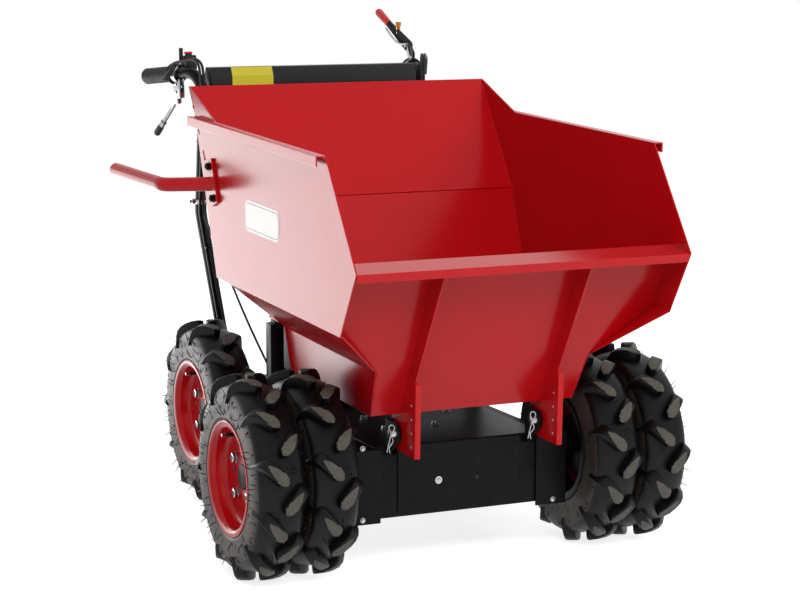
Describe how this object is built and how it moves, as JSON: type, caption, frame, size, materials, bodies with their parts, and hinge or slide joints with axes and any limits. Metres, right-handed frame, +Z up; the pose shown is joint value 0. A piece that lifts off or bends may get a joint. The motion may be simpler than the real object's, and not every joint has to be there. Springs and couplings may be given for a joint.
{
  "type": "site dumper",
  "caption": "Walk-behind site dumper: red steel tub that tips forwards, black chassis, lugged tyres twinned at the front, rear engine and handlebars.",
  "frame": {"origin": "on the ground under the middle of the machine's length and width", "axes": "+Z up, -Y is the way the machine drives, forwards, and +X is the machine's left hand"},
  "size_m": [0.9559, 1.3223, 1.081],
  "materials": {
    "red_paint": "glossy red enamel",
    "black_paint": "satin black enamel",
    "bright_steel": "bright zinc plated",
    "chrome": "polished",
    "cast_metal": "as cast",
    "tyre_rubber": "matt black",
    "pad_rubber": "matt black",
    "black_plastic": "fine grain",
    "tank_paint": "glossy red enamel",
    "heat_metal": "silver heat-proof paint"
  },
  "bodies": {
    "chassis": {"frame_rails": "black_paint", "front_beam": "black_paint", "rear_beam": "black_paint", "deck_plate": "black_paint", "front_cover": "black_paint", "guard_plates": "black_paint", "drive_case_left": "black_paint", "drive_case_right": "black_paint", "pivot_ears": "black_paint", "pivot_pins": "bright_steel", "rest_beam": "black_paint", "rest_posts": "black_paint", "rest_pads": "pad_rubber", "engine_plate": "black_paint", "engine_block": "cast_metal", "fan_housing": "black_paint", "fuel_tank": "tank_paint", "muffler": "heat_metal", "air_cleaner": "black_plastic", "belt_cover": "black_paint", "gearbox": "cast_metal", "handlebar_left": "black_paint", "handlebar_right": "black_paint", "console": "black_plastic", "grip_left": "pad_rubber", "grip_right": "pad_rubber", "steering_lever_left": "chrome", "steering_lever_right": "chrome", "clutch_lever": "black_paint", "recoil_starter": "black_plastic", "tank_saddles": "black_paint", "fuel_cap": "black_plastic", "stop_switch": "black_plastic", "cables_left": "black_plastic", "cables_right": "black_plastic"},
    "tub": {"tub_front": "red_paint", "tub_back": "red_paint", "tub_floor": "red_paint", "hopper_side_left": "red_paint", "hopper_side_right": "red_paint", "tub_side_left": "red_paint", "tub_side_right": "red_paint", "hinge_brackets": "red_paint", "tip_handle": "red_paint"},
    "wheels_front_left": {"tyres_front_left": "tyre_rubber", "rims_front_left": "red_paint", "hub_front_left": "black_paint"},
    "wheels_front_right": {"tyres_front_right": "tyre_rubber", "rims_front_right": "red_paint", "hub_front_right": "black_paint"},
    "wheel_rear_left": {"tyres_rear_left": "tyre_rubber", "rims_rear_left": "red_paint", "hub_rear_left": "black_paint"},
    "wheel_rear_right": {"tyres_rear_right": "tyre_rubber", "rims_rear_right": "red_paint", "hub_rear_right": "black_paint"}
  },
  "joints": [
    {"name": "tub_tip", "type": "hinge", "parent": "chassis", "child": "tub", "pos_m": [0, -0.424, 0.29], "axis": [1, 0, 0], "range_deg": [0, 75]},
    {"name": "front_left_spin", "type": "hinge", "parent": "chassis", "child": "wheels_front_left", "pos_m": [0, -0.31, 0.204], "axis": [1, 0, 0], "continuous": true},
    {"name": "front_right_spin", "type": "hinge", "parent": "chassis", "child": "wheels_front_right", "pos_m": [0, -0.31, 0.204], "axis": [1, 0, 0], "continuous": true},
    {"name": "rear_left_spin", "type": "hinge", "parent": "chassis", "child": "wheel_rear_left", "pos_m": [0, 0.327, 0.204], "axis": [1, 0, 0], "continuous": true},
    {"name": "rear_right_spin", "type": "hinge", "parent": "chassis", "child": "wheel_rear_right", "pos_m": [0, 0.327, 0.204], "axis": [1, 0, 0], "continuous": true}
  ]
}
